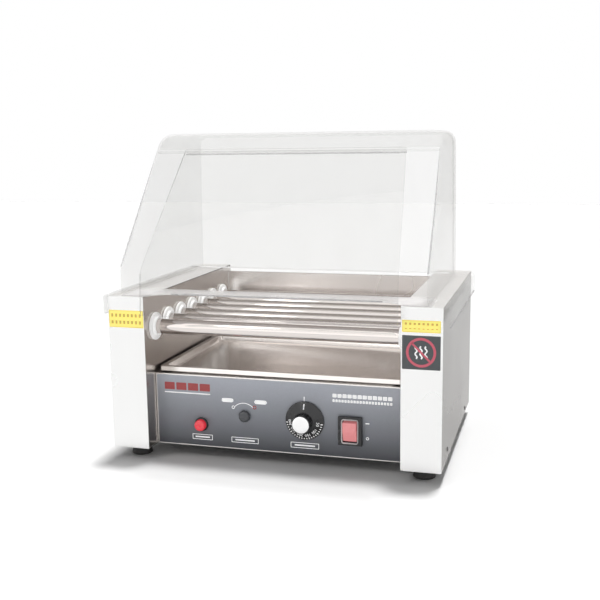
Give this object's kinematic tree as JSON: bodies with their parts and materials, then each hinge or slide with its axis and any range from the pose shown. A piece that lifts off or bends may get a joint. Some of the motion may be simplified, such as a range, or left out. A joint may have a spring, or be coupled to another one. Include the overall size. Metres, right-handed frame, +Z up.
{
  "type": "hot dog roller grill",
  "caption": "Countertop roller grill in brushed steel with a clear lift-off hood, hinged front door, drip tray and a front control panel.",
  "frame": {"origin": "centre of the footprint of the whole part, on the surface the feet stand on", "axes": "+X to the right as the user faces the control panel, +Y to the back, +Z up"},
  "size_m": [0.4536, 0.3573, 0.4308],
  "materials": {
    "tower_steel": "brushed, satin",
    "inner_steel": "brushed, satin",
    "roller_steel": "polished",
    "zinc_sheet": "dull plated",
    "clear_cover": "clear, glossy",
    "fascia_slate": "satin printed film",
    "white_ptfe": "waxy",
    "black_plastic": "semi-gloss",
    "black_rubber": "matt",
    "red_lens": "translucent, glossy",
    "red_rocker": "translucent, glossy"
  },
  "bodies": {
    "chassis": {"left_tower_shell": "tower_steel", "right_tower_shell": "tower_steel", "left_inner_wall": "inner_steel", "right_inner_wall": "inner_steel", "base_pan": "zinc_sheet", "rear_panel": "inner_steel", "control_box": "inner_steel", "control_fascia": "fascia_slate", "foot_front_left": "black_rubber", "foot_front_right": "black_rubber", "foot_rear_left": "black_rubber", "foot_rear_right": "black_rubber", "bushing_left_1": "white_ptfe", "bushing_left_2": "white_ptfe", "bushing_left_3": "white_ptfe", "bushing_left_4": "white_ptfe", "bushing_left_5": "white_ptfe", "bushing_left_6": "white_ptfe", "bushing_left_7": "white_ptfe", "bushing_right_1": "white_ptfe", "bushing_right_2": "white_ptfe", "bushing_right_3": "white_ptfe", "bushing_right_4": "white_ptfe", "bushing_right_5": "white_ptfe", "bushing_right_6": "white_ptfe", "bushing_right_7": "white_ptfe", "heater_1": "zinc_sheet", "heater_2": "zinc_sheet", "heater_3": "zinc_sheet", "heater_4": "zinc_sheet", "heater_5": "zinc_sheet", "heater_6": "zinc_sheet", "heater_7": "zinc_sheet", "heater_bracket_left": "zinc_sheet", "heater_bracket_right": "zinc_sheet", "gear_motor": "zinc_sheet", "motor_bracket": "zinc_sheet", "drive_chain": "zinc_sheet", "thermostat": "zinc_sheet", "energy_regulator": "zinc_sheet", "pilot_lamp_bezel": "black_plastic", "pilot_lamp_lens": "red_lens", "rocker_housing": "black_plastic", "cable_inlet": "black_rubber"},
    "hood": {"hood": "clear_cover", "door_hinge_rod": "clear_cover"},
    "front_door": {"front_door": "clear_cover"},
    "drip_tray": {"drip_tray": "inner_steel"},
    "motor_sprocket": {"motor_sprocket": "zinc_sheet"},
    "temperature_dial": {"temperature_dial": "black_plastic"},
    "energy_knob": {"energy_knob": "black_plastic"},
    "rocker": {"rocker": "red_rocker"},
    "roller_1": {"roller_1": "roller_steel"},
    "roller_2": {"roller_2": "roller_steel"},
    "roller_3": {"roller_3": "roller_steel"},
    "roller_4": {"roller_4": "roller_steel"},
    "roller_5": {"roller_5": "roller_steel"},
    "roller_6": {"roller_6": "roller_steel"},
    "roller_7": {"roller_7": "roller_steel"}
  },
  "joints": [
    {"name": "roller_1_spin", "type": "hinge", "parent": "chassis", "child": "roller_1", "pos_m": [0, -0.1222, 0.1777], "axis": [1, 0, 0], "continuous": true},
    {"name": "roller_2_spin", "type": "hinge", "parent": "chassis", "child": "roller_2", "pos_m": [0, -0.0806, 0.1777], "axis": [1, 0, 0], "continuous": true},
    {"name": "roller_3_spin", "type": "hinge", "parent": "chassis", "child": "roller_3", "pos_m": [0, -0.039, 0.1777], "axis": [1, 0, 0], "continuous": true},
    {"name": "roller_4_spin", "type": "hinge", "parent": "chassis", "child": "roller_4", "pos_m": [0, 0.0026, 0.1777], "axis": [1, 0, 0], "continuous": true},
    {"name": "roller_5_spin", "type": "hinge", "parent": "chassis", "child": "roller_5", "pos_m": [0, 0.0442, 0.1777], "axis": [1, 0, 0], "continuous": true},
    {"name": "roller_6_spin", "type": "hinge", "parent": "chassis", "child": "roller_6", "pos_m": [0, 0.0858, 0.1777], "axis": [1, 0, 0], "continuous": true},
    {"name": "roller_7_spin", "type": "hinge", "parent": "chassis", "child": "roller_7", "pos_m": [0, 0.1274, 0.1777], "axis": [1, 0, 0], "continuous": true},
    {"name": "motor_sprocket_spin", "type": "hinge", "parent": "chassis", "child": "motor_sprocket", "pos_m": [0.1764, 0.0026, 0.088], "axis": [1, 0, 0], "continuous": true},
    {"name": "hood_lift", "type": "slide", "parent": "chassis", "child": "hood", "axis": [0, 0, 1], "range_m": [0, 0.25]},
    {"name": "front_door_hinge", "type": "hinge", "parent": "hood", "child": "front_door", "pos_m": [0, -0.0416, 0.4055], "axis": [-1, 0, 0], "range_deg": [-4, 125]},
    {"name": "drip_tray_slide", "type": "slide", "parent": "chassis", "child": "drip_tray", "axis": [0, -1, 0], "range_m": [0, 0.22]},
    {"name": "temperature_dial_turn", "type": "hinge", "parent": "chassis", "child": "temperature_dial", "pos_m": [0.0365, -0.1257, 0.0625], "axis": [0, 1, 0], "range_deg": [0, 280]},
    {"name": "energy_knob_turn", "type": "hinge", "parent": "chassis", "child": "energy_knob", "pos_m": [-0.0458, -0.1257, 0.0625], "axis": [0, 1, 0], "range_deg": [-50, 50]},
    {"name": "rocker_tilt", "type": "hinge", "parent": "chassis", "child": "rocker", "pos_m": [0.097, -0.127, 0.0535], "axis": [-1, 0, 0], "range_deg": [0, 14]}
  ],
  "couplings": [
    {"joint": "roller_2_spin", "follows": "roller_1_spin", "ratio": 1},
    {"joint": "roller_3_spin", "follows": "roller_1_spin", "ratio": 1},
    {"joint": "roller_4_spin", "follows": "roller_1_spin", "ratio": 1},
    {"joint": "roller_5_spin", "follows": "roller_1_spin", "ratio": 1},
    {"joint": "roller_6_spin", "follows": "roller_1_spin", "ratio": 1},
    {"joint": "roller_7_spin", "follows": "roller_1_spin", "ratio": 1},
    {"joint": "motor_sprocket_spin", "follows": "roller_1_spin", "ratio": 1}
  ]
}
